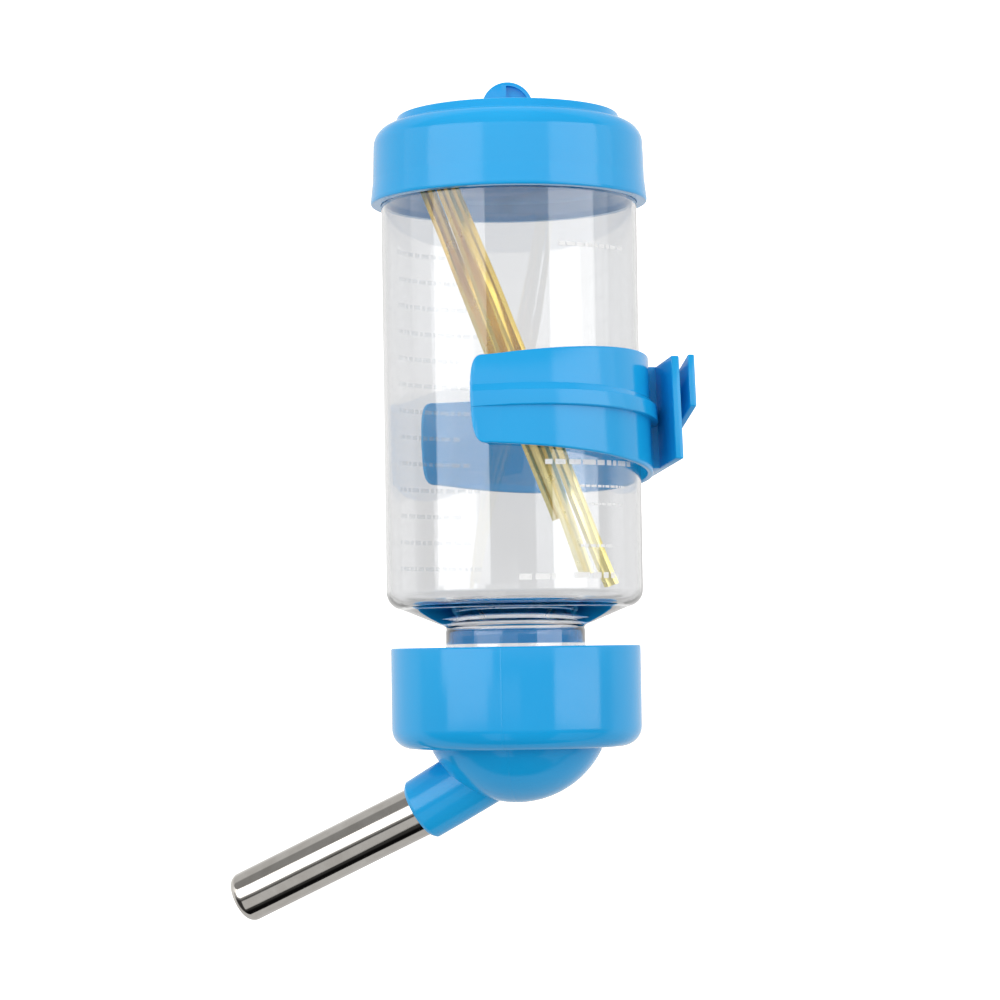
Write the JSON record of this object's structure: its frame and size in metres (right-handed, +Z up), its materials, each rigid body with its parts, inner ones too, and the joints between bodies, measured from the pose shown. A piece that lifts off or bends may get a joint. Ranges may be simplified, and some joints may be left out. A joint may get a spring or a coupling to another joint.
{
  "type": "hanging small-animal water bottle",
  "caption": "Clear water bottle for rabbits with a screw lid, a spout cap with a slanted steel ball-tip drinking tube, and an open-ring bracket that clips to cage wires.",
  "frame": {"origin": "centre of the bracket clip's outer flat face, the side that goes to the cage", "axes": "+X out of that face, +Z up along the bottle's axis towards the lid, which stands at negative X"},
  "size_m": [0.1151, 0.0782, 0.219],
  "materials": {
    "blue_plastic": "glossy",
    "clear_plastic": "clear and glossy",
    "silicone": "matte",
    "polished_steel": "polished",
    "white_plastic": "matte",
    "gold_foil": "metallised film"
  },
  "bodies": {
    "bracket": {"bracket": "blue_plastic"},
    "bottle": {"bottle_shell": "clear_plastic", "foil_tie_1": "gold_foil", "foil_tie_2": "gold_foil", "foil_tie_3": "gold_foil"},
    "lid_carrier": {"lid_seal": "silicone"},
    "lid": {"lid": "blue_plastic"},
    "cap_carrier": {"neck_seal": "silicone"},
    "cap": {"spout_cap": "blue_plastic", "drink_tube": "polished_steel", "tube_bush": "silicone", "ball_stop": "white_plastic"},
    "tip_ball": {"tip_ball": "polished_steel"},
    "rear_ball": {"rear_ball": "polished_steel"}
  },
  "joints": [
    {"name": "bottle_turn", "type": "hinge", "parent": "bracket", "child": "bottle", "pos_m": [-0.0447, 0, 0], "axis": [0, 0, 1], "continuous": true},
    {"name": "lid_rise", "type": "slide", "parent": "bottle", "child": "lid_carrier", "axis": [0, 0, 1], "range_m": [0, 0.024]},
    {"name": "lid_turn", "type": "hinge", "parent": "lid_carrier", "child": "lid", "pos_m": [-0.0447, 0, 0], "axis": [0, 0, 1], "range_deg": [0, 1080]},
    {"name": "cap_drop", "type": "slide", "parent": "bottle", "child": "cap_carrier", "axis": [0, 0, -1], "range_m": [0, 0.024]},
    {"name": "cap_turn", "type": "hinge", "parent": "cap_carrier", "child": "cap", "pos_m": [-0.0447, 0, 0], "axis": [0, 0, -1], "range_deg": [0, 1080]},
    {"name": "tip_ball_push", "type": "slide", "parent": "cap", "child": "tip_ball", "axis": [0.7989, -0.4248, 0.4258], "range_m": [0, 0.0025]},
    {"name": "rear_ball_push", "type": "slide", "parent": "cap", "child": "rear_ball", "axis": [0.7989, -0.4248, 0.4258], "range_m": [0, 0.0025]}
  ],
  "couplings": [
    {"joint": "lid_rise", "follows": "lid_turn", "m_per_rad": 0.001273},
    {"joint": "cap_drop", "follows": "cap_turn", "m_per_rad": 0.001273},
    {"joint": "rear_ball_push", "follows": "tip_ball_push", "ratio": 1}
  ]
}
